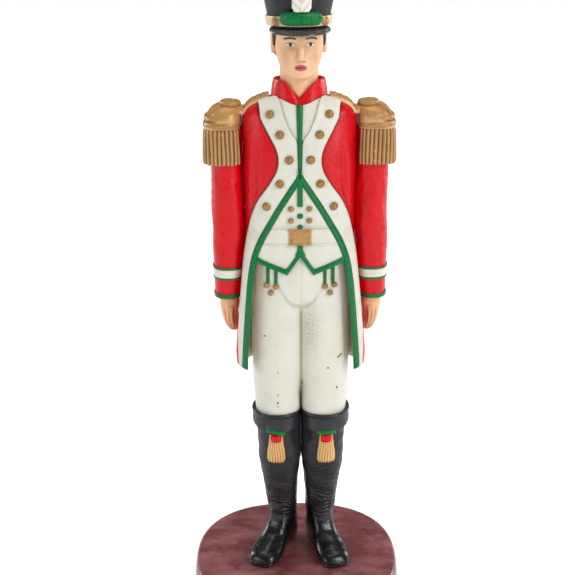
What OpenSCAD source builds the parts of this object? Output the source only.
// Toy soldier figure on a round-cornered plinth, built from carved, dowelled and applied pieces.
// Frame: +Z up, the figure faces -Y, its own left hand is at +X.
// The origin is the middle of the underside that the plinth rests on.
// The figure's own heights are counted from the top of the plinth.

/* [Base] */
// Width of the plinth at its foot
base_w = 104; // [92:1:120]
// Depth of the plinth at its foot
base_d = 101; // [90:1:118]
// Height of the wooden plinth
base_h = 16; // [13:0.5:24]
// Radius of the rounded top edge
base_edge = 2.4; // [1:0.2:4]
// Thickness of the felt under the plinth
felt_t = 1; // [0.6:0.1:2]
// How far the figure stands behind the middle of the plinth
stand_back = 8; // [4:0.5:10]
// How far the figure stands to its left of the middle of the plinth
stand_side = 2.8; // [0:0.2:4]

/* [Legs] */
// Length of a boot from heel to toe
foot_len = 38; // [34:0.5:42]
// Turn of the feet away from straight ahead, in degrees
toe_out = 21; // [14:1:26]
// How much further the right foot turns out than that, and the left foot less, in degrees
toe_more = 4; // [0:1:6]
// Height of a boot from the plinth to its top
boot_h = 77.1; // [74:0.1:84]
// Thickness of the turned-down boot top
fold_t = 0.9; // [0.7:0.1:1.1]
// Height of the turned-down boot top in front
fold_h = 10.2; // [9:0.2:14]
// Width of a boot tassel at its foot
tassel_w = 9; // [7:0.2:10]
// Length of a boot tassel's skirt
tassel_len = 12.2; // [10:0.2:14]
// Height from the plinth to the seat of the coat on the hips
hip_h = 164; // [160:1:170]
// How far the thighs stay inside the sides of the chest
thigh_in = 1.4; // [1:0.1:2]
// Diameter of a bead on the fob cords
bead_d = 2.8; // [2.2:0.1:3.2]

/* [Coat] */
// Length of the coat from its seat on the hips to the neck
torso_h = 69.2; // [66:0.4:74]
// Height of the skirts' hem above the boots
hem_gap = 23.5; // [16:0.5:30]
// Width of the chest
chest_w = 50; // [49:0.2:51]
// Depth of the chest
chest_d = 30; // [29:0.2:32]
// Thickness of the skirts
skirt_t = 3; // [2.6:0.1:3.2]
// Width of the slit between the tails
vent_w = 1; // [0.6:0.1:2]
// Thickness of the lapels and front panels
lapel_t = 0.9; // [0.6:0.1:1.2]
// Thickness of the waistcoat and the shirt front
vest_t = 0.6; // [0.5:0.1:0.9]
// Width of the edge piping
piping_w = 2.6; // [2:0.1:3]
// Thickness of the edge piping
piping_t = 1.4; // [1:0.1:1.8]
// Diameter of a lapel button
button_d = 4; // [3.2:0.1:4.4]
// Width of the belt plate
plate_w = 11; // [9:0.5:12]
// Height of the belt and its plate
plate_h = 7.4; // [6:0.2:8]
// Height of the collar at the back
collar_h = 8.4; // [7:0.2:9]
// Thickness of the collar
collar_t = 1.6; // [1.2:0.1:1.8]

/* [Arms] */
// Width of a sleeve
sleeve_w = 14.8; // [14:0.1:15.4]
// Depth of a sleeve
sleeve_d = 18.4; // [17:0.2:20]
// Length of a sleeve from the shoulder seat to the wrist
sleeve_len = 81.7; // [76:0.1:86]
// Height of the white band on a sleeve
band_w = 3.9; // [3:0.1:5]
// Height of the cord edging on a sleeve
edging_w = 1; // [0.8:0.1:1.4]
// Length of a hand below the cuff
hand_len = 18.8; // [17:0.2:21]
// Length of an epaulette's fringe
fringe_len = 16; // [13:0.2:19]
// Strands round an epaulette's fringe
fringe_strands = 17; // [13:1:19]

/* [Head] */
// Turn of the head to its left, in degrees
head_turn = 3; // [0:0.5:6]
// Height of the head from chin to crown
head_h = 31; // [29.5:0.5:33]
// Width of the head
head_w = 22.4; // [20.8:0.2:23]
// Depth of the head from brow to nape
head_d = 24.6; // [23.6:0.2:25.4]
// Diameter of the hat at its foot
hat_d = 26.8; // [26.2:0.2:28]
// Diameter of the hat at its top
hat_top_d = 35; // [31:0.2:37]
// Height of the hat
hat_h = 33; // [28:0.5:38]
// Height of the band round the foot of the hat
band_h = 4.2; // [3.4:0.2:5]
// Reach of the visor in front of the hat
visor_reach = 6.2; // [5:0.2:8]
// Height of the plume above the roll at its foot
plume_h = 38; // [34:0.5:46]

/* [Joinery] */
// Diameter of the dowel between coat and trousers
hip_dowel_d = 10; // [8:0.5:11]
// Diameter of the dowels between trousers and boots
leg_dowel_d = 6; // [5:0.5:7]
// Diameter of the shoulder dowels
shoulder_dowel_d = 6; // [5:0.5:7]
// Diameter of the neck and hat dowels
neck_dowel_d = 6; // [5:0.5:7]
// Diameter of the wrist dowels
wrist_dowel_d = 3; // [2.5:0.1:3.5]
// Diameter of the base screws
screw_d = 3.5; // [3:0.1:4]
// Radial clearance of dowels and screws in their holes
fit = 0.06; // [0.03:0.01:0.1]
// Gap between an applied piece and what carries it
seat = 0.12; // [0.08:0.01:0.16]

/* [Hidden] */
$fn = 64;

// Colours
wood = [0.30, 0.09, 0.08];
white = [0.90, 0.90, 0.85];
red = [0.83, 0.03, 0.08];
green = [0.04, 0.42, 0.20];
gold = [0.72, 0.50, 0.22];
black = [0.06, 0.06, 0.07];
charcoal = [0.16, 0.16, 0.17];
skin_tone = [0.93, 0.70, 0.52];
bare_wood = [0.78, 0.62, 0.42];
steel = [0.60, 0.60, 0.62];

// One overrun for every cut
cut = 1;
// Facets round a large, a middle and a small soft-edged form
sides = 36;
mid_sides = 24;
small_sides = 12;

// Curves through tables. A table's rows are [station, value, value, ...] and its station rises.
function row_of(table, s, i = 0) =
    (i >= len(table) - 2 || s < table[i + 1][0]) ? i : row_of(table, s, i + 1);
function slope(table, i, c) =
    let (a = max(i - 1, 0), b = min(i + 1, len(table) - 1))
    (table[b][c] - table[a][c]) / (table[b][0] - table[a][0]);
function smooth(table, s, c) =
    let (
        q = min(max(s, table[0][0]), table[len(table) - 1][0]),
        i = row_of(table, q), step = table[i + 1][0] - table[i][0], t = (q - table[i][0]) / step,
        a = table[i][c], b = table[i + 1][c], ta = slope(table, i, c) * step, tb = slope(table, i + 1, c) * step
    )
    a * (1 + 2 * t) * (1 - t) ^ 2 + ta * t * (1 - t) ^ 2 + b * t ^ 2 * (3 - 2 * t) - tb * t ^ 2 * (1 - t);
function mix(a, b, t) = a + (b - a) * t;
function steps(n) = [for (i = [0 : n]) i / n];
function flat(rows) = [for (r = rows) each r];
// A signed power, for superellipses
function spow(v, p) = sign(v) * abs(v) ^ p;
// A point of a closed outline at angle t: half width a, widest at y = c, f deep in front and b behind
function oval(t, a, c, f, b, n) =
    [a * spow(cos(t), 2 / n), c + (sin(t) < 0 ? f : b) * spow(sin(t), 2 / n)];

// A point of the same outline, at even turns seen from its middle
function ray(t, a, b, n) =
    let (r = ((abs(cos(t)) / a) ^ n + (abs(sin(t)) / b) ^ n) ^ (-1 / n))
    [r * cos(t), r * sin(t)];
function transpose(m) = [for (j = [0 : len(m[0]) - 1]) [for (i = [0 : len(m) - 1]) m[i][j]]];

// A closed form through rings that run anticlockwise seen from above, from the lowest up
module loft(rings) {
    n = len(rings[0]);
    m = len(rings);
    polyhedron(
        points = flat(rings),
        faces = concat(
            [[for (i = [0 : n - 1]) i], [for (i = [n - 1 : -1 : 0]) (m - 1) * n + i]],
            [for (k = [0 : m - 2]) for (i = [0 : n - 1])
                let (a = k * n + i, b = k * n + (i + 1) % n) each [[a, a + n, b + n], [a, b + n, b]]]
        )
    );
}

// A closed slab between an outer and an inner grid of points. Seen from outside, a row runs to the right
// and the rows rise. With wrap, each row is a closed ring.
module slab(outer, inner, wrap = false) {
    m = len(outer);
    n = len(outer[0]);
    last = wrap ? n - 1 : n - 2;
    in0 = m * n;
    function at(i, j) = i * n + j % n;
    polyhedron(
        points = concat(flat(outer), flat(inner)),
        faces = concat(
            [for (i = [0 : m - 2]) for (j = [0 : last])
                let (a = at(i, j), b = at(i + 1, j), c = at(i + 1, j + 1), d = at(i, j + 1))
                each [[a, b, c], [a, c, d], [in0 + c, in0 + b, in0 + a], [in0 + d, in0 + c, in0 + a]]],
            [for (j = [0 : last])
                let (a = at(0, j), b = at(0, j + 1), c = at(m - 1, j), d = at(m - 1, j + 1))
                each [[a, b, in0 + b], [a, in0 + b, in0 + a], [d, c, in0 + c], [d, in0 + c, in0 + d]]],
            wrap ? [] : [for (i = [0 : m - 2])
                let (a = at(i, 0), b = at(i + 1, 0), c = at(i, n - 1), d = at(i + 1, n - 1))
                each [[b, a, in0 + a], [b, in0 + a, in0 + b], [c, d, in0 + d], [c, in0 + d, in0 + c]]]
        )
    );
}

module bore(d, h) {
    cylinder(d = d + 2 * fit, h = h);
}

// Where the figure stands
base_top = felt_t + base_h;
module figure() {
    translate([stand_side, stand_back, base_top]) children();
}
// A piece of the figure's right side is the mirrored piece of its left side, but for the feet's turn
module left_side() {
    figure() children();
}
module right_side() {
    figure() mirror([1, 0, 0]) children();
}

// Base
plinth_power = 2.5;
// Height and inset of the wall, as shares of the wall's height and of the edge radius
plinth_wall_shares = [[0, 0.35], [0.10, 0], [0.45, 0.10]];
// Inset of the wall below the rounded edge
plinth_in_share = 0.35;
plinth_sides = 44;
edge_turns = [0 : 30 : 90];
screw_len = 26;
screw_head_d = 7;
screw_head_h = 2.4;
screw_sink = 0.6;
screw_tip = 3;
// Behind the ankle's middle
screw_back = 2.5;

function plinth_ring(inset, z) = [
    for (i = [0 : plinth_sides - 1])
        let (
            a = base_w / 2 - inset, b = base_d / 2 - inset,
            p = oval(i * 360 / plinth_sides, a, 0, b, b, plinth_power)
        )
        [p[0], p[1], z]
];

module base_plinth() {
    wall = base_h - base_edge;
    color(wood)
    difference() {
        loft(concat(
            [for (r = plinth_wall_shares) plinth_ring(r[1] * base_edge, felt_t + r[0] * wall)],
            [for (a = edge_turns)
                plinth_ring(base_edge * (1 + plinth_in_share - cos(a)), felt_t + wall + base_edge * sin(a))]
        ));
        at_screws() {
            translate([0, 0, -cut]) bore(screw_d, base_h + felt_t + 2 * cut);
            translate([0, 0, felt_t - cut]) cylinder(d = screw_head_d + 2 * fit, h = cut + screw_sink);
            translate([0, 0, felt_t + screw_sink - fit])
                cylinder(d1 = screw_head_d + 2 * fit, d2 = screw_d + 2 * fit, h = screw_head_h);
        }
    }
}

module base_felt() {
    color(charcoal)
    linear_extrude(height = felt_t - fit)
        polygon([for (p = plinth_ring(base_edge, 0)) [p[0], p[1]]]);
}

module at_screws() {
    for (side = [1, -1])
        translate([stand_side + side * screw_place(side)[0], stand_back + screw_place(side)[1], 0]) children();
}

module base_screws() {
    low = felt_t + screw_sink;
    color(steel)
    at_screws()
        rotate_extrude()
            polygon([
                [0, low], [screw_head_d / 2, low], [screw_d / 2, low + screw_head_h],
                [screw_d / 2, low + screw_len - screw_tip], [0, low + screw_len]
            ]);
}

// Boots. A ring spans a point of the upper line and a point of the lower line of the side view.
thigh_w = chest_w / 2 - thigh_in;
ankle_x = 0.428 * thigh_w;
ankle_back = 2;
// Upper point along the foot and up, lower point along the foot and up, half width, middle, turn.
// Along the foot they are shares of its length from the ankle, up shares of the boot's height,
// widths shares of the thighs' half width, middles of the ankle's place, and turns of the toe's turn.
boot_shares = [
    [-0.722, 0.042, -0.718, 0.018, 0.095, 1.00, 1.00],
    [-0.700, 0.064, -0.700, 0.000, 0.205, 1.00, 1.00],
    [-0.645, 0.085, -0.640, 0.000, 0.285, 1.00, 1.00],
    [-0.540, 0.103, -0.530, 0.000, 0.328, 1.00, 1.00],
    [-0.410, 0.124, -0.395, 0.000, 0.332, 1.00, 1.00],
    [-0.285, 0.158, -0.240, 0.000, 0.298, 1.00, 1.00],
    [-0.216, 0.200, -0.095, 0.000, 0.268, 1.00, 1.00],
    [-0.192, 0.250, 0.105, 0.000, 0.262, 1.00, 0.95],
    [-0.190, 0.295, 0.250, 0.000, 0.278, 1.00, 0.90],
    [-0.192, 0.340, 0.276, 0.058, 0.294, 1.00, 0.85],
    [-0.205, 0.385, 0.255, 0.155, 0.312, 1.00, 0.75],
    [-0.226, 0.450, 0.228, 0.285, 0.333, 1.00, 0.60],
    [-0.262, 0.550, 0.238, 0.440, 0.373, 1.03, 0.35],
    [-0.305, 0.665, 0.255, 0.605, 0.436, 1.06, 0.10],
    [-0.335, 0.780, 0.262, 0.760, 0.457, 1.08, 0.00],
    [-0.357, 0.850, 0.254, 0.850, 0.457, 1.170, 0.00],
    [-0.360, 1.000, 0.254, 1.000, 0.456, 1.178, 0.00]
];
boot_power = 2.25;
boot_sides = 20;
sole_power = 3.6;
// Up to this row the lower line is the sole
sole_row = 8;
boot_top = boot_shares[len(boot_shares) - 1];
leg_x = boot_top[5] * ankle_x;
leg_rx = boot_top[4] * thigh_w;
leg_ry = (boot_top[2] - boot_top[0]) / 2 * foot_len;
leg_mid_y = ankle_back + (boot_top[2] + boot_top[0]) / 2 * foot_len;
// Turn of the foot on a side of the figure, 1 for its left and -1 for its right
function foot_turn(side) = toe_out - side * toe_more;
// The screws enter the boots behind the ankles
function screw_place(side) = [
    ankle_x - sin(foot_turn(side)) * screw_back,
    ankle_back + cos(foot_turn(side)) * screw_back
];
leg_dowel_len = 26;

function boot_ring(r, k, side) =
    let (
        up = [r[0] * foot_len, r[1] * boot_h], low = [r[2] * foot_len, r[3] * boot_h],
        mid = (up + low) / 2, half = (low - up) / 2, turn = r[6] * foot_turn(side)
    )
    [for (i = [0 : boot_sides - 1])
        let (
            t = i * 360 / boot_sides, n = (k <= sole_row && sin(t) > 0) ? sole_power : boot_power,
            x = r[4] * thigh_w * spow(cos(t), 2 / n), q = mid + half * spow(sin(t), 2 / n)
        )
        [
            r[5] * ankle_x + x * cos(turn) - q[0] * sin(turn),
            ankle_back + x * sin(turn) + q[0] * cos(turn),
            q[1]
        ]];

module boot(side) {
    color(black)
    difference() {
        loft([for (k = [0 : len(boot_shares) - 1]) boot_ring(boot_shares[k], k, side)]);
        translate([leg_x, leg_mid_y, boot_h - leg_dowel_len / 2]) bore(leg_dowel_d, leg_dowel_len);
        translate([screw_place(side)[0], screw_place(side)[1], -cut])
            bore(screw_d, felt_t + screw_sink + screw_len - base_top + cut + fit);
    }
}

// The turned-down top wraps the boot. Its rim stands above the boot and round the thigh, and its lower
// edge hangs lowest in front.
fold_rim = 2.4;
rim_t = 0.5;
fold_rise = 3;
fold_low = boot_h + fold_rim - fold_h;
function fold_ring(out, z_share) = [
    for (i = [0 : boot_sides - 1])
        let (
            t = i * 360 / boot_sides,
            p = oval(t, leg_rx + out, 0, leg_ry + out, leg_ry + out, boot_power),
            low = fold_low + fold_rise * (1 - max(0, -sin(t)) ^ 2), top = boot_h + fold_rim
        )
        [max(leg_x + p[0], seat), leg_mid_y + p[1], mix(low, top, z_share)]
];
module boot_fold() {
    // Height and bulge shares
    fold_shares = [[0, 0.3], [0.12, 1], [0.86, 1.1], [1, 1.6]];
    color(charcoal)
    slab(
        [for (r = fold_shares) fold_ring(seat + fold_t * r[1], r[0])],
        [for (r = fold_shares) fold_ring(seat, r[0])],
        wrap = true
    );
}

// Ornaments that hang in front of a boot: a green cord, a red knot and a gold tassel
tassel_x = 1.04 * leg_x;
cord_h = 2.2;
cord_t = 1.1;
cord_reach = 4.8;
knot_w = 5;
knot_h = 4.8;
knot_t = 2;
tassel_t = 2.6;
tassel_flutes = 5;
cord_z = fold_low + cord_h / 2;
tassel_top = fold_low - seat - 0.85 * knot_h;
// Front of the boot at a place and a height, between the rings that lie above and below it
boot_front_table = [
    for (k = [11 : len(boot_shares) - 1])
        let (r = boot_shares[k])
        [r[1] * boot_h, r[0] * foot_len, r[4] * thigh_w, r[5] * ankle_x]
];
function boot_front(x, z) =
    let (
        f = smooth(boot_front_table, z, 1), w = smooth(boot_front_table, z, 2),
        c = smooth(boot_front_table, z, 3)
    )
    ankle_back + f * (1 - min(1, abs(x - c) / w) ^ boot_power) ^ (1 / boot_power);

module boot_cord() {
    out = seat + fold_t * 1.1 + seat;
    rows = steps(4);
    cols = steps(6);
    function place(u, v, rise) =
        let (
            x = tassel_x + cord_reach * (2 * u - 1), z = cord_z + cord_h * (v - 0.5),
            round = sqrt(1 - (0.98 * (2 * v - 1)) ^ 2) * (1 - (2 * u - 1) ^ 6)
        )
        [x, boot_front(x, boot_h) - out - rise * (0.06 + round), z];
    color(green)
    slab(
        [for (v = rows) [for (u = cols) place(u, v, cord_t)]],
        [for (v = rows) [for (u = cols) place(u, v, 0)]]
    );
}

module tassel_knot() {
    rows = steps(4);
    cols = steps(4);
    z0 = tassel_top - 0.15 * knot_h;
    function place(u, v, rise) =
        let (
            round = sqrt(max(0, 1 - (2 * v - 1) ^ 2)), z = z0 + knot_h * v,
            x = tassel_x + knot_w / 2 * (2 * u - 1) * mix(0.45, 1, round)
        )
        [x, boot_front(x, z) - seat - rise * (0.15 + 0.85 * round) * sqrt(1 - (0.96 * (2 * u - 1)) ^ 2), z];
    color(red)
    slab(
        [for (v = rows) [for (u = cols) place(u, v, knot_t)]],
        [for (v = rows) [for (u = cols) place(u, v, 0)]]
    );
}
module tassel_skirt() {
    rows = steps(4);
    cols = steps(2 * tassel_flutes);
    low = tassel_top - tassel_len;
    // Width and rise shares from the foot of the skirt to its top
    skirt_shares = [[0, 0.86, 0.55], [0.12, 1, 1], [0.5, 0.95, 0.95], [0.85, 0.84, 0.75], [1, 0.76, 0.5]];
    function place(u, v, rise) =
        let (
            w = tassel_w / 2 * smooth(skirt_shares, v, 1), x = tassel_x + w * (2 * u - 1),
            flute = 0.86 + 0.14 * cos(360 * tassel_flutes * u), round = sqrt(1 - (0.94 * (2 * u - 1)) ^ 2),
            z = low + (tassel_len - 0.15 * knot_h - seat) * v
        )
        [x, boot_front(x, z) - seat - rise * smooth(skirt_shares, v, 2) * flute * round, z];
    color(gold)
    slab(
        [for (v = rows) [for (u = cols) place(u, v, tassel_t)]],
        [for (v = rows) [for (u = cols) place(u, v, 0)]]
    );
}

module boot_cords() {
    left_side() boot_cord();
    right_side() boot_cord();
}
module tassel_knots() {
    left_side() tassel_knot();
    right_side() tassel_knot();
}
module tassel_skirts() {
    left_side() tassel_skirt();
    right_side() tassel_skirt();
}

// Trousers. Low down the outline is two round thighs, and it closes to one form at the hips.
// Height share, half width share, front and back depth as shares of the thighs' depth, and the share of
// the two thighs
trouser_shares = [
    [0.000, 0.940, 0.490, 0.490, 0.93],
    [0.056, 0.955, 0.500, 0.500, 0.90],
    [0.130, 0.975, 0.515, 0.490, 0.86],
    [0.240, 0.995, 0.540, 0.470, 0.80],
    [0.397, 1.000, 0.560, 0.455, 0.70],
    [0.563, 1.000, 0.572, 0.455, 0.55],
    [0.672, 0.996, 0.578, 0.455, 0.30],
    [0.736, 0.990, 0.580, 0.455, 0.06],
    [0.811, 0.980, 0.578, 0.455, 0.00],
    [0.920, 0.970, 0.574, 0.450, 0.00],
    [1.000, 0.965, 0.568, 0.448, 0.00]
];
trouser_power = 2.5;
leg_points = 8;
thigh_d = 0.787 * chest_d;
trouser_low = boot_h + seat;
trouser_len = hip_h - seat - trouser_low;
fly_w = 7;
fly_rise = 1.6;
// The middle of the fall front and its reach, as shares of the trousers' height
fly_share = 0.84;
fly_span_share = 0.12;
function trouser_depth(x, s, c) =
    let (
        a = thigh_w * smooth(trouser_shares, s, 1), b = thigh_d * smooth(trouser_shares, s, c),
        two = smooth(trouser_shares, s, 4),
        hip = b * (1 - min(1, abs(x) / a) ^ trouser_power) ^ (1 / trouser_power),
        thigh = b * sqrt(max(0, 1 - (2 * abs(x) / a - 1) ^ 2))
    )
    mix(hip, thigh, two);
function trouser_front(x, z) =
    let (s = (z - trouser_low) / trouser_len)
    -trouser_depth(x, s, 2) - fly_rise * exp(-(x / fly_w) ^ 2 - ((s - fly_share) / fly_span_share) ^ 2);
// The left half of the outline. The two halves meet in the middle.
function trouser_ring(s) =
    let (
        a = thigh_w * smooth(trouser_shares, s, 1), z = trouser_low + s * trouser_len,
        xs = [for (i = [0 : leg_points]) a / 2 * (1 + cos(i * 180 / leg_points))]
    )
    concat(
        [for (i = [0 : leg_points]) [xs[i], trouser_depth(xs[i], s, 3), z]],
        [for (i = [leg_points : -1 : 1]) [xs[i], trouser_front(xs[i], z), z]]
    );
hip_dowel_len = 36;
module trousers() {
    // Between the legs there is room for the two boot tops
    slot_w = 2 * (seat + rim_t + fold_t + 4 * seat);
    color(white)
    figure()
    difference() {
        for (side = [0, 1])
            mirror([side, 0, 0])
                loft([for (r = trouser_shares) trouser_ring(r[0])]);
        translate([-slot_w / 2, -thigh_w, trouser_low - cut])
            cube([slot_w, 2 * thigh_w, cut + fold_rim + seat]);
        for (side = [1, -1])
            translate([side * leg_x, leg_mid_y, trouser_low - cut])
                bore(leg_dowel_d, leg_dowel_len / 2 + cut + fit);
        translate([0, 0, hip_h - hip_dowel_len / 2]) bore(hip_dowel_d, hip_dowel_len);
    }
}

// Coat. Height share from hem to neck, half width share of half the chest, and, as shares of the chest's
// depth, the place of the widest line, the depth in front of it and the depth behind it.
coat_shares = [
    [0.000, 1.233, -0.20, 0.284, 0.740],
    [0.077, 1.244, -0.20, 0.286, 0.740],
    [0.246, 1.164, -0.20, 0.300, 0.735],
    [0.365, 1.104, -0.16, 0.335, 0.695],
    [0.437, 1.076, -0.13, 0.352, 0.655],
    [0.492, 1.040, -0.09, 0.385, 0.600],
    [0.545, 1.020, -0.05, 0.425, 0.550],
    [0.630, 1.020, -0.02, 0.465, 0.505],
    [0.746, 1.044, 0.00, 0.510, 0.480],
    [0.841, 1.050, 0.00, 0.512, 0.480],
    [0.905, 1.050, 0.02, 0.490, 0.455],
    [0.945, 1.030, 0.03, 0.455, 0.425],
    [0.968, 0.950, 0.04, 0.425, 0.400],
    [0.983, 0.810, 0.045, 0.400, 0.385],
    [0.994, 0.640, 0.05, 0.375, 0.365],
    [1.000, 0.500, 0.05, 0.350, 0.345]
];
front_power = 2.6;
back_power = 2.35;
hem_h = boot_h + fold_rim + hem_gap;
neck_h = hip_h + torso_h;
coat_len = neck_h - hem_h;
// The seat on the hips lies at this share of the coat's height
seat_share = 0.4685;
function coat_share(z) =
    z < hip_h ? seat_share * (z - hem_h) / (hip_h - hem_h) : mix(seat_share, 1, (z - hip_h) / torso_h);
function coat_z(s) =
    s < seat_share ? mix(hem_h, hip_h, s / seat_share) : mix(hip_h, neck_h, (s - seat_share) / (1 - seat_share));
function coat_size(z, c) = smooth(coat_shares, coat_share(z), c) * (c == 1 ? chest_w / 2 : chest_d);
// Front surface of the coat
function coat_front(x, z) =
    let (side = min(1, abs(x) / coat_size(z, 1)))
    coat_size(z, 2) - coat_size(z, 3) * (1 - side ^ front_power) ^ (1 / front_power);
// Top surface of the coat's shoulders over a place, found by halving
function coat_over(x, y, z) =
    let (c = coat_size(z, 2), n = y < c ? front_power : back_power, b = coat_size(z, y < c ? 3 : 4))
    (abs(x) / coat_size(z, 1)) ^ n + (abs(y - c) / b) ^ n;
function coat_top(x, y, low, high, turn = 0) =
    let (mid = (low + high) / 2)
    turn > 13 ? mid
    : coat_over(x, y, mid) < 1 ? coat_top(x, y, mid, high, turn + 1)
    : coat_top(x, y, low, mid, turn + 1);
// The shoulders lie above this share of the coat's height
shoulder_share = 0.84;
function shoulder_top(x, y) = coat_top(x, y, coat_z(shoulder_share), neck_h);

// Places across the front, as shares of half the chest, from the hem to the neck
lapel_out_shares = [
    [0.000, 1.192], [0.031, 1.196], [0.107, 1.200], [0.230, 1.165], [0.376, 1.095], [0.461, 1.040],
    [0.530, 0.975], [0.592, 0.895], [0.653, 0.760], [0.707, 0.568], [0.756, 0.425], [0.799, 0.384],
    [0.839, 0.432], [0.887, 0.560], [0.937, 0.696], [0.964, 0.745]
];
piping_shares = [
    [0.000, 1.066], [0.023, 1.064], [0.115, 1.036], [0.223, 0.992], [0.328, 0.944], [0.376, 0.912],
    [0.428, 0.864], [0.468, 0.800], [0.518, 0.696], [0.568, 0.560], [0.624, 0.412], [0.678, 0.252],
    [0.731, 0.112], [0.750, 0.038]
];
crease_shares = [
    [0.750, 0.030], [0.795, 0.036], [0.845, 0.044], [0.865, 0.060], [0.893, 0.156], [0.946, 0.284],
    [0.978, 0.380]
];
// The piping's apex, as a share of the coat's height
apex_share = 0.750;
apex_h = coat_z(apex_share);
lapel_top_share = 0.978;
function across(table, z) = chest_w / 2 * smooth(table, coat_share(z), 1);
function piping_x(z) = across(piping_shares, z);
// The piping is wider across where it leans
function piping_half(z) =
    let (d = 0.01 * coat_len, lean = (piping_x(z - d) - piping_x(z + d)) / (2 * d))
    piping_w / 2 * sqrt(1 + min(lean, 0.9) ^ 2);
// Inner edge of a lapel: beside the piping below its apex and along the crease above it
function lapel_in(z) =
    max(across(crease_shares, z), seat, z > apex_h ? 0 : piping_x(z) + piping_half(z) + seat);
function lapel_out(z) = across(lapel_out_shares, z);

// The skirts' outline at a height, from its front edge round to the slit between the tails
skirt_cols = 12;
function skirt_point(u, z, inset) =
    let (
        a = coat_size(z, 1) - inset, c = coat_size(z, 2),
        f = coat_size(z, 3) - inset, b = coat_size(z, 4) - inset,
        x0 = piping_x(z) - piping_half(z), t0 = -acos(min(1, x0 / a) ^ (front_power / 2)),
        t1 = acos((vent_w / 2 / a) ^ (back_power / 2)), t = mix(t0, t1, u)
    )
    concat(oval(t, a, c, f, b, sin(t) < 0 ? front_power : back_power), [z]);
module skirt() {
    tuck = 2;
    // A step this deep at the seat hides the seam between skirts and body
    step = 0.3;
    zs = concat([for (v = [0, 0.22, 0.50, 0.80]) mix(hem_h, hip_h, v)], [hip_h + tuck]);
    function in(z) = z > hip_h ? step : 0;
    us = steps(skirt_cols);
    slab(
        [for (z = zs) [for (u = us) skirt_point(u, z, in(z))]],
        [for (z = zs) [for (u = us) skirt_point(u, z, skirt_t)]]
    );
}

shoulder_z = hip_h + 0.75 * torso_h;
shoulder_y = 0.03 * chest_d;
shoulder_dowel_len = 22;
neck_dowel_len = 22;
hat_dowel_len = 18;
module coat_body() {
    rows = concat([seat_share], [for (r = coat_shares) if (r[0] > seat_share + 0.02) r[0]]);
    color(red)
    figure()
    difference() {
        union() {
            loft([for (s = rows) let (z = coat_z(s))
                [for (i = [0 : sides - 1]) let (t = i * 360 / sides)
                    concat(oval(t, coat_size(z, 1), coat_size(z, 2), coat_size(z, 3), coat_size(z, 4),
                        sin(t) < 0 ? front_power : back_power), [z])]]);
            skirt();
            mirror([1, 0, 0]) skirt();
        }
        translate([0, 0, hip_h - cut]) bore(hip_dowel_d, hip_dowel_len / 2 + cut + fit);
        translate([0, 0, neck_h - neck_dowel_len / 2]) bore(neck_dowel_d, neck_dowel_len);
        for (side = [0, 1])
            mirror([side, 0, 0])
                translate([chest_w / 2 - shoulder_dowel_len / 2, shoulder_y, shoulder_z])
                    rotate([0, 90, 0]) bore(shoulder_dowel_d, shoulder_dowel_len);
    }
}

// A point on the coat's front, or standing out from it by a rise
function on_coat(x, z, rise) = [x, coat_front(x, z) - rise, z];
lapel_rows = 19;
lapel_cols = 4;
lapel_top = coat_z(lapel_top_share);
module lapel() {
    us = steps(lapel_cols);
    // Rows lie closer where the edge turns
    zs = [for (v = steps(lapel_rows)) mix(hem_h, lapel_top, v ^ 0.8)];
    function row(z, rise) = [for (u = us) on_coat(mix(lapel_in(z), lapel_out(z), u), z, rise)];
    color(white)
    slab([for (z = zs) row(z, seat + lapel_t)], [for (z = zs) row(z, seat)]);
}
module lapel_left() { left_side() lapel(); }
module lapel_right() { right_side() lapel(); }

// The shirt shows between the creases, on both sides of the front cord
shirt_low_share = 0.865;
module shirt_side() {
    us = steps(3);
    zs = [for (v = steps(4)) mix(coat_z(shirt_low_share), lapel_top, v)];
    function row(z, rise) = [for (u = us) on_coat(mix(cord_half(z) + seat, lapel_in(z) - seat, u), z, rise)];
    color(white)
    slab([for (z = zs) row(z, seat + vest_t)], [for (z = zs) row(z, seat)]);
}
module shirt_front() {
    left_side() shirt_side();
    right_side() shirt_side();
}

// The front cord narrows from the collar down to the piping's apex
cord_top_w = 2.6;
cord_low_w = 1;
function cord_half(z) = mix(cord_low_w, cord_top_w, (z - apex_h) / (lapel_top - apex_h)) / 2;
cord_us = [0, 0.3, 0.7, 1];
function ridge(u) = 0.35 + 0.65 * sqrt(1 - (0.95 * (2 * u - 1)) ^ 2);
module front_cord() {
    zs = [for (v = steps(8)) mix(apex_h + piping_w, lapel_top, v)];
    // Below the shirt the cord lies over the meeting edges of the lapels
    function base(z) = seat + (coat_share(z) < shirt_low_share ? lapel_t + seat : 0);
    function rise(z, u) = (piping_t - base(z) + 2 * seat) * ridge(u) + lapel_t;
    function row(z, full) = [for (u = cord_us)
        on_coat(cord_half(z) * (2 * u - 1), z, base(z) + (full ? rise(z, u) : 0))];
    color(green)
    figure()
    slab([for (z = zs) row(z, true)], [for (z = zs) row(z, false)]);
}

// The coat's edge piping runs from the apex down both front edges to the hem
module piping_side() {
    zs = [for (v = steps(15)) mix(hem_h, apex_h + piping_w, v ^ 0.85)];
    function inner_x(z) = max(piping_x(z) - piping_half(z), seat / 2);
    function outer_x(z) = max(piping_x(z) + piping_half(z), inner_x(z) + piping_w / 2);
    // Above the apex the cord narrows over the meeting lapels, which it clears
    function base(z) = seat + (z > apex_h ? lapel_t + seat : 0);
    function row(z, full) = [for (u = cord_us)
        on_coat(mix(inner_x(z), outer_x(z), u), z, base(z) + (full ? piping_t * ridge(u) : 0))];
    slab([for (z = zs) row(z, true)], [for (z = zs) row(z, false)]);
}
module coat_piping() {
    color(green) {
        left_side() piping_side();
        right_side() piping_side();
    }
}

// Waistcoat between the pipings, with its points below
function vest_side(z) = piping_x(z) - piping_half(z) - seat;
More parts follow.
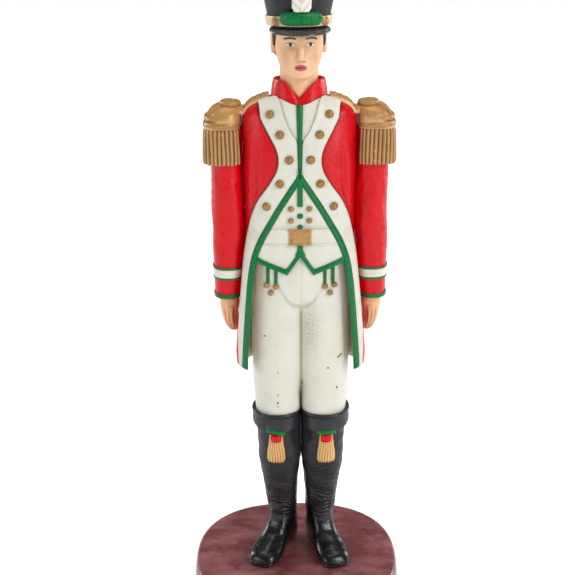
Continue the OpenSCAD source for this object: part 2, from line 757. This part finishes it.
// Height of the hem as a share of the coat's length, over the distance from the middle
vest_hem_shares = [[0, 0.462], [0.25, 0.393], [0.55, 0.415], [0.83, 0.437]];
function line(table, s) =
    let (i = row_of(table, s), t = (s - table[i][0]) / (table[i + 1][0] - table[i][0]))
    mix(table[i][1], table[i + 1][1], t);
function vest_hem(x) = coat_z(line(vest_hem_shares, abs(x) / (chest_w / 2)));
// The side edge as a height over a distance from the middle, found by halving
function edge_h(x, low, high, turn = 0) =
    let (mid = (low + high) / 2)
    turn > 12 ? mid
    : vest_side(mid) > abs(x) ? edge_h(x, mid, high, turn + 1)
    : edge_h(x, low, mid, turn + 1);
vest_place_shares = [0, 0.07, 0.16, 0.25, 0.36, 0.5, 0.64, 0.79];
module waistcoat_half() {
    xs = [for (s = vest_place_shares) s * chest_w / 2];
    vs = steps(3);
    function at(x, v, rise) =
        let (z = mix(vest_hem(x), edge_h(x, hem_h, apex_h) - seat, v))
        on_coat(x, z, rise);
    slab([for (v = vs) [for (x = xs) at(x, v, seat + vest_t)]], [for (v = vs) [for (x = xs) at(x, v, seat)]]);
}
module waistcoat() {
    color(white)
    figure() {
        waistcoat_half();
        mirror([1, 0, 0]) waistcoat_half();
    }
}

// Piping along the waistcoat's points, and the bar and dots down its middle
hem_piping_h = 2.7;
hem_place_shares = [0, 0.13, 0.25, 0.40, 0.55, 0.70, 0.81];
bar_w = 2.4;
bar_shares = [0.633, 0.722];
dot_shares = [0.603, 0.565];
module waistcoat_piping() {
    last = len(hem_place_shares) - 1;
    places = concat([for (k = [last : -1 : 1]) -hem_place_shares[k]], hem_place_shares);
    xs = [for (s = places) s * chest_w / 2];
    vs = cord_us;
    base = 2 * seat + vest_t;
    function at(x, v, rise) = on_coat(x, vest_hem(x) + hem_piping_h * (v - 0.5), base + rise * ridge(v));
    function bar_at(u, z, rise) = on_coat(bar_w / 2 * (2 * u - 1), z, base + rise * ridge(u));
    color(green)
    figure() {
        slab(
            [for (v = vs) [for (x = xs) at(x, v, piping_t - vest_t)]],
            [for (v = vs) [for (x = xs) at(x, v, 0)]]
        );
        bar_zs = [for (v = steps(4)) coat_z(mix(bar_shares[0], bar_shares[1], v))];
        slab(
            [for (z = bar_zs) [for (u = cord_us) bar_at(u, z, 0.7 * piping_t)]],
            [for (z = bar_zs) [for (u = cord_us) bar_at(u, z, 0)]]
        );
        for (s = dot_shares)
            on_front(0, coat_z(s), base) dome(bar_w, 0.45 * bar_w);
    }
}

// A domed stud along +Z from its flat back: a full turn of a quarter of an ellipse
dome_turns = [20 : 20 : 80];
dome_sides = 32;
module dome(d, h) {
    rotate_extrude($fn = dome_sides)
        polygon(concat(
            [[0, 0], [d / 2, 0]], [for (a = dome_turns) [d / 2 * cos(a), h * sin(a)]], [[0, h]]
        ));
}
// Children stand on the coat's front at a place, square to it
module on_front(x, z, rise) {
    d = 0.01 * chest_w;
    sx = (coat_front(x + d, z) - coat_front(x - d, z)) / (2 * d);
    sz = (coat_front(x, z + d) - coat_front(x, z - d)) / (2 * d);
    translate([x, coat_front(x, z), z])
        rotate([0, 0, atan(sx)])
            rotate([90 - atan(sz), 0, 0])
                translate([0, 0, rise]) children();
}

// Buttons, beads, belt and plate
button_shares = [[0.52, 0.950], [0.35, 0.885], [0.19, 0.801], [0.36, 0.717], [0.60, 0.633]];
vest_bead_shares = [[0.166, 0.626], [0.166, 0.583]];
module coat_buttons() {
    color(gold)
    figure()
    for (s = button_shares) for (side = [1, -1])
        on_front(side * s[0] * chest_w / 2, coat_z(s[1]), 2 * seat + lapel_t)
            dome(button_d, 0.45 * button_d);
}
module waistcoat_beads() {
    color(gold)
    figure()
    for (s = vest_bead_shares) for (side = [1, -1])
        on_front(side * s[0] * chest_w / 2, coat_z(s[1]), 2 * seat + vest_t)
            dome(bead_d, 0.6 * bead_d);
}

belt_share = 0.524;
belt_t = 0.45;
belt_z = coat_z(belt_share);
module waist_belt() {
    // Height and rise shares
    belt_shares = [[-0.5, 0.4], [-0.38, 1], [0.38, 1], [0.5, 0.4]];
    us = steps(12);
    function row(z, rise) = [for (u = us) on_coat((vest_side(z) - seat) * (2 * u - 1), z, rise)];
    color(white)
    figure()
    slab(
        [for (r = belt_shares) row(belt_z + plate_h * r[0], 2 * seat + vest_t + belt_t * r[1])],
        [for (r = belt_shares) row(belt_z + plate_h * r[0], 2 * seat + vest_t)]
    );
}
plate_t = 1.2;
module belt_plate() {
    vs = steps(4);
    us = steps(6);
    // The sides draw in at mid height
    function half(v) = plate_w / 2 * (1 - 0.09 * (1 - (2 * v - 1) ^ 2));
    base = 3 * seat + vest_t + belt_t;
    function at(u, v, rise) = on_coat(half(v) * (2 * u - 1), belt_z + 1.04 * plate_h * (v - 0.5), base + rise);
    function full(u, v) = plate_t * (1 - 0.4 * max(abs(2 * u - 1), abs(2 * v - 1)) ^ 6);
    color(gold)
    figure()
    slab([for (v = vs) [for (u = us) at(u, v, full(u, v))]], [for (v = vs) [for (u = us) at(u, v, 0)]]);
}

// Fob cords hang from the waistcoat's points over the trousers, and end in three beads a side
fob_cord_w = 1.5;
fob_cord_t = 0.9;
fob_shares = [[0.44, 0.329], [0.59, 0.336]];
fob_bead_shares = [[0.44, 0.329], [0.61, 0.336], [0.53, 0.306]];
module fob_cords() {
    vs = steps(2);
    // The cords start behind the piping of the waistcoat's hem
    function at(x, v, s, rise) =
        let (z = mix(coat_z(s) + 0.4 * bead_d, vest_hem(x) - 0.45 * hem_piping_h, v))
        [x, trouser_front(x, z) - seat - rise, z];
    color(green)
    figure()
    for (p = fob_shares) for (side = [1, -1]) {
        xs = [for (u = cord_us) side * p[0] * chest_w / 2 + fob_cord_w / 2 * (2 * u - 1)];
        slab(
            [for (v = vs) [for (i = [0 : 3]) at(xs[i], v, p[1], fob_cord_t * ridge(cord_us[i]))]],
            [for (v = vs) [for (i = [0 : 3]) at(xs[i], v, p[1], 0)]]
        );
    }
}
module fob_beads() {
    color(gold)
    figure()
    for (p = fob_bead_shares) for (side = [1, -1]) {
        x = side * p[0] * chest_w / 2;
        z = coat_z(p[1]);
        d = 0.01 * chest_w;
        sx = (trouser_front(x + d, z) - trouser_front(x - d, z)) / (2 * d);
        translate([x, trouser_front(x, z) - seat, z])
            rotate([0, 0, atan(sx)]) rotate([90, 0, 0]) translate([0, 0, seat]) dome(bead_d, 0.8 * bead_d);
    }
}

// Collar: a standing band round the neck, open to a V in front
collar_w = 12.9;
collar_front = 11.4;
collar_back = 11.6;
collar_mid = 0.6;
collar_lean = 1.3;
collar_power = 2.1;
// Depth and half width of the V, as shares of the collar's height and half width, and its curve
notch_share = 0.93;
notch_w_share = 0.767;
notch_power = 1.6;
collar_sides = 24;
collar_top_h = neck_h + collar_h;
function collar_ring(out, top) = [
    for (i = [0 : collar_sides - 1])
        let (
            t = i * 360 / collar_sides, in = out + (top ? collar_lean : 0),
            p = oval(t, collar_w - in, collar_mid, collar_front - in, collar_back - in, collar_power),
            foot = oval(t, collar_w - out, collar_mid, collar_front - out, collar_back - out, collar_power),
            low = shoulder_top(foot[0], foot[1]) + seat,
            notch = sin(t) < 0 ? max(0, 1 - abs(p[0]) / (notch_w_share * collar_w)) ^ notch_power : 0
        )
        [p[0], p[1], top ? mix(collar_top_h, low, notch_share * notch) : low]
];
module collar() {
    function rows(out) =
        let (foot = collar_ring(out, false), top = collar_ring(out, true))
        [foot, (foot + top) / 2, top];
    color(red)
    figure()
    slab(rows(0), rows(collar_t), wrap = true);
}

// Sleeves. Height share from the wrist up, how far the inner side stands out from the coat's side, half
// width, place of the middle line in depth, half depth, as shares of the sleeve's width or depth.
sleeve_shares = [
    [0.00, -0.045, 0.432, 0.185, 0.455],
    [0.12, -0.030, 0.463, 0.170, 0.465],
    [0.25, -0.025, 0.495, 0.150, 0.475],
    [0.35, 0.005, 0.514, 0.125, 0.485],
    [0.45, 0.012, 0.524, 0.100, 0.490],
    [0.65, 0.012, 0.510, 0.065, 0.500],
    [0.83, 0.012, 0.490, 0.050, 0.505],
    [1.00, 0.012, 0.488, 0.050, 0.500]
];
sleeve_power = 2.3;
sleeve_sides = 20;
shoulder_seat = hip_h + 0.799 * torso_h;
wrist_h = shoulder_seat - sleeve_len;
// A column of the table at a height, where column 1 gives the middle line's place
function sleeve_size(z, c) =
    let (v = smooth(sleeve_shares, (z - wrist_h) / sleeve_len, c))
    c > 2 ? v * sleeve_d : v * sleeve_w + (c == 1 ? coat_size(z, 1) + sleeve_size(z, 2) : 0);
function sleeve_ring(z, out) = [
    for (i = [0 : sleeve_sides - 1])
        let (
            a = sleeve_size(z, 2) + out, b = sleeve_size(z, 4) + out,
            p = oval(i * 360 / sleeve_sides, a, 0, b, b, sleeve_power)
        )
        [sleeve_size(z, 1) + p[0], sleeve_size(z, 3) + p[1], z]
];
wrist_dowel_len = 12;
wrist_x = sleeve_size(wrist_h, 1);
wrist_y = sleeve_size(wrist_h, 3);
module sleeve() {
    color(red)
    difference() {
        loft([for (r = sleeve_shares) sleeve_ring(wrist_h + r[0] * sleeve_len, 0)]);
        translate([chest_w / 2 - shoulder_dowel_len / 2, shoulder_y, shoulder_z])
            rotate([0, 90, 0]) bore(shoulder_dowel_d, shoulder_dowel_len);
        translate([wrist_x, wrist_y, wrist_h - cut]) bore(wrist_dowel_d, wrist_dowel_len / 2 + cut);
    }
}
module sleeve_left() { left_side() sleeve(); }
module sleeve_right() { right_side() sleeve(); }

// Bands round a sleeve. The white band lies between two cords, and a third cord edges the wrist.
band_t = 0.55;
edging_t = 0.75;
band_low = wrist_h + 0.129 * sleeve_len;
module sleeve_band(low, high, t) {
    zs = [low, high];
    slab([for (z = zs) sleeve_ring(z, seat + t)], [for (z = zs) sleeve_ring(z, seat)], wrap = true);
}
module cuff_band() {
    color(white) sleeve_band(band_low, band_low + band_w, band_t);
}
module cuff_edging() {
    color(green) {
        sleeve_band(wrist_h, wrist_h + 2 * edging_w, edging_t);
        sleeve_band(band_low - edging_w - seat, band_low - seat, edging_t);
        sleeve_band(band_low + band_w + seat, band_low + band_w + seat + edging_w, edging_t);
    }
}
module cuff_band_left() { left_side() cuff_band(); }
module cuff_band_right() { right_side() cuff_band(); }
module cuff_edging_left() { left_side() cuff_edging(); }
module cuff_edging_right() { right_side() cuff_edging(); }

// Hands. Height share from the finger tips up, then middle from the wrist's, half width, middle in depth
// from the wrist's and half depth, as shares of the hand's length.
hand_shares = [
    [0.00, -0.130, 0.045, 0.035, 0.065],
    [0.03, -0.120, 0.110, 0.030, 0.150],
    [0.14, -0.085, 0.160, 0.010, 0.240],
    [0.32, -0.050, 0.195, -0.010, 0.295],
    [0.55, -0.025, 0.220, -0.025, 0.320],
    [0.78, -0.005, 0.232, -0.030, 0.295],
    [1.00, 0.000, 0.234, -0.035, 0.275]
];
thumb_shares = [
    [0.26, -0.070, 0.035, -0.300, 0.040],
    [0.30, -0.068, 0.085, -0.305, 0.085],
    [0.50, -0.045, 0.100, -0.340, 0.095],
    [0.70, -0.020, 0.090, -0.315, 0.090],
    [0.82, -0.010, 0.040, -0.270, 0.040]
];
function hand_ring(r, n) = [
    for (i = [0 : n - 1])
        let (p = oval(i * 360 / n, r[2], 0, r[4], r[4], 2.2))
        [
            wrist_x + (r[1] + p[0]) * hand_len, wrist_y + (r[3] + p[1]) * hand_len,
            wrist_h - seat - (1 - r[0]) * hand_len
        ]
];
module hand() {
    color(skin_tone)
    difference() {
        union() {
            loft([for (r = hand_shares) hand_ring(r, 16)]);
            loft([for (r = thumb_shares) hand_ring(r, 8)]);
        }
        translate([wrist_x, wrist_y, wrist_h - seat - wrist_dowel_len / 2])
            bore(wrist_dowel_d, wrist_dowel_len);
    }
}
module hand_left() { left_side() hand(); }
module hand_right() { right_side() hand(); }

// Epaulettes: a strap from the collar over the shoulder, ending in a raised crescent over the sleeve
coat_side = coat_size(shoulder_seat, 1);
strap_gap = 0.8;
strap_in = collar_w + strap_gap;
strap_half = 4.4;
strap_t = 1.9;
// The crescent stands out from the coat's side and past the sleeve
crown_in = coat_side + 3 * seat;
crown_over = 2.9;
crown_out = sleeve_size(shoulder_seat, 1) + sleeve_size(shoulder_seat, 2) + crown_over;
crown_x = (crown_in + crown_out) / 2;
crown_rx = (crown_out - crown_in) / 2;
crown_y = sleeve_size(shoulder_seat, 3);
crown_past = 1.8;
crown_ry = sleeve_size(shoulder_seat, 4) + crown_past;
crown_power = 3;
crown_h = 10.8;
rim_h = 3.6;
// Place along the crescent and its height above the rim
crown_shares = [[0, 0.93], [0.2, 0.98], [0.4, 1], [0.62, 0.88], [0.82, 0.70], [1, 0.50]];
function crown_half(x) =
    crown_ry * (1 - min(1, abs(x - crown_x) / crown_rx) ^ crown_power) ^ (1 / crown_power);
module epaulette() {
    // The shoulder rounds off this far inside the coat's side
    round_in = 1.2;
    strap_out = coat_side + 2 * seat;
    strap_us = [0, 0.05, 0.3, 0.55, 0.75, 0.89, 1];
    crown_us = [0, 0.08, 0.24, 0.42, 0.62, 0.80, 0.93, 0.99];
    strap_xs = [for (u = strap_us) mix(strap_in, strap_out, u)];
    crown_xs = [for (u = crown_us) mix(crown_in, crown_out, u)];
    vs = [-1, -0.93, -0.7, -0.35, 0, 0.35, 0.7, 0.93, 1];
    function rounded(v) = (1 - abs(v) ^ 4) ^ 0.25;
    function strap_at(x, v, t) =
        let (y = crown_y + strap_half * v)
        [x, y, shoulder_top(min(x, coat_side - round_in), y) + seat + t];
    // The crescent rises from the strap and falls over the shoulder to its rim
    function crown_top(x, v) =
        let (
            out = max(0, (x - crown_x) / crown_rx), r = min(1, norm([out, v])),
            hump = smooth(crown_shares, (x - crown_in) / (crown_out - crown_in), 1)
        )
        shoulder_seat + seat + rim_h + (crown_h - rim_h) * hump * (1 - r ^ 3) ^ 0.5;
    function crown_at(x, v, z) = [x, crown_y + max(crown_half(x), strap_half) * v, z];
    strap_low = [for (x = strap_xs) [for (v = vs) strap_at(x, v, 0)]];
    strap_high = [for (x = strap_xs) [for (v = vs)
        strap_at(x, v, strap_t * (0.35 + 0.65 * rounded(v)) * (x == strap_in ? 0.5 : 1))]];
    crown_low = [for (x = crown_xs) [for (v = vs) crown_at(x, v, shoulder_seat + seat)]];
    crown_high = [for (x = crown_xs) [for (v = vs)
        crown_at(x, v, crown_top(x, v) - (abs(v) == 1 ? 0.35 * rim_h : 0))]];
    color(gold)
    slab(transpose(concat(strap_high, crown_high)), transpose(concat(strap_low, crown_low)));
}
module epaulette_left() { left_side() epaulette(); }
module epaulette_right() { right_side() epaulette(); }

// Fringe: fluted strands hang from the rim round the front, outside and back of the sleeve
fringe_out = 0.3;
// Reach to each side of straight out, as a share of half a turn
fringe_turn_share = 0.76;
strand_points = 2;
strand_depth = 0.55;
module fringe() {
    cols = round(fringe_strands) * strand_points;
    low = shoulder_seat - fringe_len;
    // Height, spread and flute shares
    fringe_shares = [[0, 0.6, 1], [0.08, 1, 1], [0.6, 0.3, 1], [1, -0.3, 0.2]];
    function turn(j) = 180 * fringe_turn_share * (2 * j / cols - 1);
    function point(j, z, out, flute) =
        let (
            wave = strand_depth * flute * (abs(cos(180 * j / strand_points)) - 0.5),
            p = ray(turn(j), crown_rx + out + wave, crown_ry + out + wave, crown_power)
        )
        [max(crown_x + p[0], crown_in), crown_y + p[1], z];
    function back(j, z) =
        let (p = ray(turn(j), sleeve_size(z, 2) + 2 * seat, sleeve_size(z, 4) + 2 * seat, sleeve_power))
        [sleeve_size(z, 1) + p[0], sleeve_size(z, 3) + p[1], z];
    function height(r) = low + r[0] * fringe_len;
    color(gold)
    slab(
        [for (r = fringe_shares) [for (j = [0 : cols]) point(j, height(r), fringe_out * r[1], r[2])]],
        [for (r = fringe_shares) [for (j = [0 : cols]) back(j, height(r))]]
    );
}
module fringe_left() { left_side() fringe(); }
module fringe_right() { right_side() fringe(); }

// Head with a neck below, and a flat top under the hat
chin_gap = 0.3;
chin_h = neck_h + collar_h + chin_gap;
hat_foot = chin_h + 0.73 * head_h;
neck_rx = 8.6;
neck_back = 1.2;
// The head and all that it carries turn on the neck
module turned() {
    figure() rotate([0, 0, head_turn]) children();
}
// Height share from chin to hat seat, half width, middle, front and back as shares of the head's size
head_shares = [
    [0.000, 0.260, -0.330, 0.110, 0.200],
    [0.050, 0.480, -0.250, 0.225, 0.260],
    [0.170, 0.700, -0.100, 0.380, 0.340],
    [0.330, 0.850, 0.000, 0.480, 0.400],
    [0.500, 0.940, 0.020, 0.495, 0.470],
    [0.700, 0.985, 0.020, 0.485, 0.490],
    [0.850, 1.000, 0.020, 0.500, 0.490],
    [1.000, 1.000, 0.020, 0.500, 0.485]
];
head_power = 2.25;
function head_ring(s) =
    let (a = head_w / 2 * smooth(head_shares, s, 1), c = head_d * smooth(head_shares, s, 2),
        f = head_d * smooth(head_shares, s, 3), b = head_d * smooth(head_shares, s, 4))
    [for (i = [0 : mid_sides - 1])
        concat(oval(i * 360 / mid_sides, a, c, f, b, head_power), [mix(chin_h, hat_foot - seat, s)])];
// The nose: height share, half width, how far its ridge stands out and how far its root lies back,
// as shares of the head's width
nose_shares = [
    [0.44, 0.045, 0.515, 0.40], [0.48, 0.115, 0.640, 0.40], [0.56, 0.100, 0.665, 0.40],
    [0.72, 0.055, 0.600, 0.40], [0.84, 0.040, 0.545, 0.40]
];
// The ears: height share, half width and half depth as shares of the head's width
ear_shares = [
    [0.46, 0.020, 0.03], [0.50, 0.052, 0.07], [0.66, 0.062, 0.115], [0.80, 0.060, 0.12], [0.87, 0.030, 0.06]
];
ear_x_share = 0.515;
ear_back_share = 0.06;
ear_sides = 8;
module head() {
    neck_low = neck_h + seat;
    function height(s) = mix(chin_h, hat_foot, s);
    color(skin_tone)
    turned()
    difference() {
        union() {
            loft([for (r = head_shares) head_ring(r[0])]);
            translate([0, neck_back, neck_low]) cylinder(r = neck_rx, h = chin_h + 0.35 * head_h - neck_low);
            loft([for (r = nose_shares)
                let (x = r[1] * head_w, front = -r[2] * head_w, root = -r[3] * head_w, z = height(r[0]))
                [[-x, root, z], [0, front, z], [x, root, z], [0, 0.88 * root, z]]]);
            for (side = [1, -1])
                loft([for (r = ear_shares) [for (i = [0 : ear_sides - 1])
                    let (t = i * 360 / ear_sides)
                    [
                        (side * ear_x_share + r[1] * cos(t)) * head_w,
                        (ear_back_share + r[2] * sin(t)) * head_w, height(r[0])
                    ]]]);
        }
        translate([0, 0, neck_h - cut]) bore(neck_dowel_d, neck_dowel_len / 2 + cut);
        translate([0, 0, hat_foot - hat_dowel_len / 2]) bore(neck_dowel_d, hat_dowel_len);
    }
}

// Hair: a cap behind and beside the head, with short side locks in front of the ears
hair_t = 0.9;
// Height share on the head and reach to each side of straight back, as a share of a quarter turn
hair_reach_shares = [[0.30, 0.64], [0.42, 0.82], [0.60, 1.08], [0.80, 1.24], [1, 1.24]];
hair_cols = 16;
// Place and size of the opening round an ear, as shares of the head's width and height
ear_hole_shares = [[-0.12, -0.08, 0.44], [0.24, 0.28, 0.45]];
module hair() {
    function point(r, j, out) =
        let (
            s = r[0], t = 90 * (1 + r[1] * (2 * j / hair_cols - 1)),
            a = head_w / 2 * smooth(head_shares, s, 1), c = head_d * smooth(head_shares, s, 2),
            f = head_d * smooth(head_shares, s, 3), b = head_d * smooth(head_shares, s, 4)
        )
        concat(oval(t, a + out, c, f + out, b + out, head_power), [mix(chin_h, hat_foot - seat, s)]);
    function thickness(r) = hair_t * (r[0] == hair_reach_shares[0][0] ? 0.3 : 1);
    hole = ear_hole_shares[0];
    size = ear_hole_shares[1];
    color(black)
    turned()
    difference() {
        slab(
            [for (r = hair_reach_shares) [for (j = [0 : hair_cols]) point(r, j, seat + thickness(r))]],
            [for (r = hair_reach_shares) [for (j = [0 : hair_cols]) point(r, j, seat)]]
        );
        for (side = [1, -1])
            translate([
                (side * ear_x_share + hole[0]) * head_w, hole[1] * head_w, mix(chin_h, hat_foot, hole[2])
            ])
                cube([size[0] * head_w, size[1] * head_w, size[2] * (hat_foot - chin_h)]);
    }
}

// Hat: a flared drum with a dished top
hat_wall = 1.4;
hat_dish = 1.2;
top_band_h = 2.6;
// Height and flare shares of the drum
hat_flare_shares = [[0, 0], [0.15, 0.16], [0.32, 0.44], [0.55, 0.66], [0.8, 0.87], [1, 1]];
function hat_radius(z) = mix(hat_d, hat_top_d, smooth(hat_flare_shares, (z - hat_foot) / hat_h, 1)) / 2;
hat_top = hat_foot + hat_h;
module shako() {
    zs = [for (v = steps(10)) mix(hat_foot, hat_top - top_band_h, v)];
    rim = hat_radius(hat_top);
    color(black)
    turned()
    difference() {
        rotate_extrude()
            polygon(concat(
                [[0, hat_foot]], [for (z = zs) [hat_radius(z), z]],
                [[rim + 0.4 * hat_wall, hat_top - top_band_h], [rim + 0.4 * hat_wall, hat_top - 0.2 * hat_wall],
                [rim + 0.2 * hat_wall, hat_top], [rim - hat_wall, hat_top], [rim - hat_wall, hat_top - hat_dish],
                [0, hat_top - hat_dish]]
            ));
        translate([0, 0, hat_foot - cut]) bore(neck_dowel_d, hat_dowel_len / 2 + cut + fit);
    }
}
hat_band_t = 0.9;
band_gap = 0.4;
band_z = hat_foot + band_gap;
module shako_band() {
    r0 = hat_radius(band_z) + seat;
    r1 = hat_radius(band_z + band_h) + seat;
    color(gold)
    turned()
    rotate_extrude()
        polygon([
            [r0, band_z], [r0 + 0.5 * hat_band_t, band_z], [r0 + hat_band_t, band_z + 0.2 * band_h],
            [r1 + hat_band_t, band_z + 0.8 * band_h], [r1 + 0.5 * hat_band_t, band_z + band_h], [r1, band_z + band_h]
        ]);
}

// Visor: a crescent that slopes forward and down from the foot of the hat
visor_turn = 74;
visor_t = 1.1;
visor_drop = 1.7;
module visor() {
    us = steps(16);
    function place(u, v, up) =
        let (
            t = -90 + visor_turn * (2 * u - 1), w = max(0.02, cos(90 * (2 * u - 1))) ^ 0.62,
            r = hat_radius(hat_foot) - hat_wall + (visor_reach + hat_wall) * v * w,
            drop = visor_drop * (v * w + 0.4 * (v * w) ^ 2) + up * mix(1, 0.5, v)
        )
        [r * cos(t), r * sin(t), hat_foot - seat - drop];
    function rows(up) = [for (v = [0, 1]) [for (u = us) place(u, v, up)]];
    color(black)
    turned()
    slab(rows(0), rows(visor_t));
}

// Roll: a fat cord across the front of the hat, over the upper half of the band
roll_turn = 34;
roll_h = 5.8;
roll_t = 3;
roll_z = band_z + band_h - 0.1 * roll_h;
module hat_roll() {
    us = [0, 0.05, 0.16, 0.33, 0.5, 0.67, 0.84, 0.95, 1];
    // End size shares
    roll_shares = [[0, 0.25], [0.05, 0.72], [0.16, 0.96], [0.5, 1], [0.84, 0.96], [0.95, 0.72], [1, 0.25]];
    back = hat_radius(band_z + band_h) + hat_band_t + 2 * seat;
    rings = [for (u = us)
        let (t = -90 - roll_turn * (2 * u - 1), k = smooth(roll_shares, u, 1))
        [for (i = [0 : small_sides - 1])
            let (q = i * 360 / small_sides, r = back + roll_t * (0.5 + 0.5 * k * cos(q)))
            [r * cos(t), r * sin(t), roll_z + k * roll_h / 2 * sin(q)]]];
    color(green)
    turned()
    loft(rings);
}

boss_d = 4;
boss_turn = 47;
module hat_bosses() {
    z = band_z + band_h / 2;
    color(gold)
    turned()
    for (side = [1, -1])
        rotate([0, 0, side * boss_turn])
            translate([0, -hat_radius(z) - hat_band_t - 2 * seat, z])
                rotate([90, 0, 0]) dome(boss_d, 0.45 * boss_d);
}

// Plume: soft feathers that stand on the roll and lean with the hat
plume_w = 10.4;
plume_t = 5;
// Height, width, thickness shares and the number of lobes down each side
plume_shares = [
    [0, 0.60, 0.55], [0.06, 0.82, 0.75], [0.30, 1.0, 0.95], [0.60, 1.06, 1.0], [0.82, 0.95, 0.95],
    [0.94, 0.62, 0.7], [1, 0.16, 0.2]
];
plume_lobes = 5;
lobe_share = 0.07;
module plume() {
    z0 = roll_z + roll_h / 2 + seat;
    rows = 18;
    rings = [for (v = steps(rows))
        let (
            z = z0 + plume_h * v, lobe = 1 + lobe_share * cos(360 * plume_lobes * v) * (1 - v ^ 4),
            w = plume_w / 2 * smooth(plume_shares, v, 1) * lobe,
            t = plume_t / 2 * smooth(plume_shares, v, 2) * lobe,
            back = hat_radius(min(z, hat_top)) + 0.4 * hat_wall + 2 * seat + plume_t / 2 * 1.04
        )
        [for (i = [0 : small_sides - 1]) concat(oval(i * 360 / small_sides, w, -back, t, t, 2), [z])]];
    color(white)
    turned()
    loft(rings);
}

// Dowels
module dowel(d, len) {
    chamfer = 0.12 * d;
    color(bare_wood)
    rotate_extrude()
        polygon([
            [0, 0], [d / 2 - chamfer, 0], [d / 2, chamfer], [d / 2, len - chamfer], [d / 2 - chamfer, len], [0, len]
        ]);
}
module hip_dowel() {
    figure() translate([0, 0, hip_h - hip_dowel_len / 2 + seat]) dowel(hip_dowel_d, hip_dowel_len - seat);
}
module leg_dowels() {
    figure()
    for (side = [1, -1])
        translate([side * leg_x, leg_mid_y, boot_h - leg_dowel_len / 2 + seat])
            dowel(leg_dowel_d, leg_dowel_len - seat);
}
module shoulder_dowels() {
    figure()
    for (side = [0, 1])
        mirror([side, 0, 0])
            translate([chest_w / 2 - shoulder_dowel_len / 2 + seat, shoulder_y, shoulder_z])
                rotate([0, 90, 0]) dowel(shoulder_dowel_d, shoulder_dowel_len - 2 * seat);
}
module neck_dowel() {
    figure()
    translate([0, 0, neck_h - neck_dowel_len / 2 + seat]) dowel(neck_dowel_d, neck_dowel_len - 2 * seat);
}
module hat_dowel() {
    figure() translate([0, 0, hat_foot - hat_dowel_len / 2 + seat]) dowel(neck_dowel_d, hat_dowel_len - seat);
}
module wrist_dowels() {
    figure()
    for (side = [0, 1])
        mirror([side, 0, 0])
            translate([wrist_x, wrist_y, wrist_h - wrist_dowel_len / 2])
                dowel(wrist_dowel_d, wrist_dowel_len - 2 * seat);
}

module boot_left() { left_side() boot(1); }
module boot_right() { right_side() boot(-1); }
module boot_fold_left() { left_side() boot_fold(); }
module boot_fold_right() { right_side() boot_fold(); }

base_plinth();
base_felt();
base_screws();
boot_left();
boot_right();
boot_fold_left();
boot_fold_right();
boot_cords();
tassel_knots();
tassel_skirts();
trousers();
fob_cords();
fob_beads();
coat_body();
lapel_left();
lapel_right();
shirt_front();
front_cord();
coat_piping();
waistcoat();
waistcoat_piping();
waistcoat_beads();
waist_belt();
belt_plate();
coat_buttons();
collar();
sleeve_left();
sleeve_right();
cuff_band_left();
cuff_band_right();
cuff_edging_left();
cuff_edging_right();
hand_left();
hand_right();
epaulette_left();
epaulette_right();
fringe_left();
fringe_right();
head();
hair();
shako();
shako_band();
visor();
hat_roll();
hat_bosses();
plume();
hip_dowel();
leg_dowels();
shoulder_dowels();
neck_dowel();
hat_dowel();
wrist_dowels();
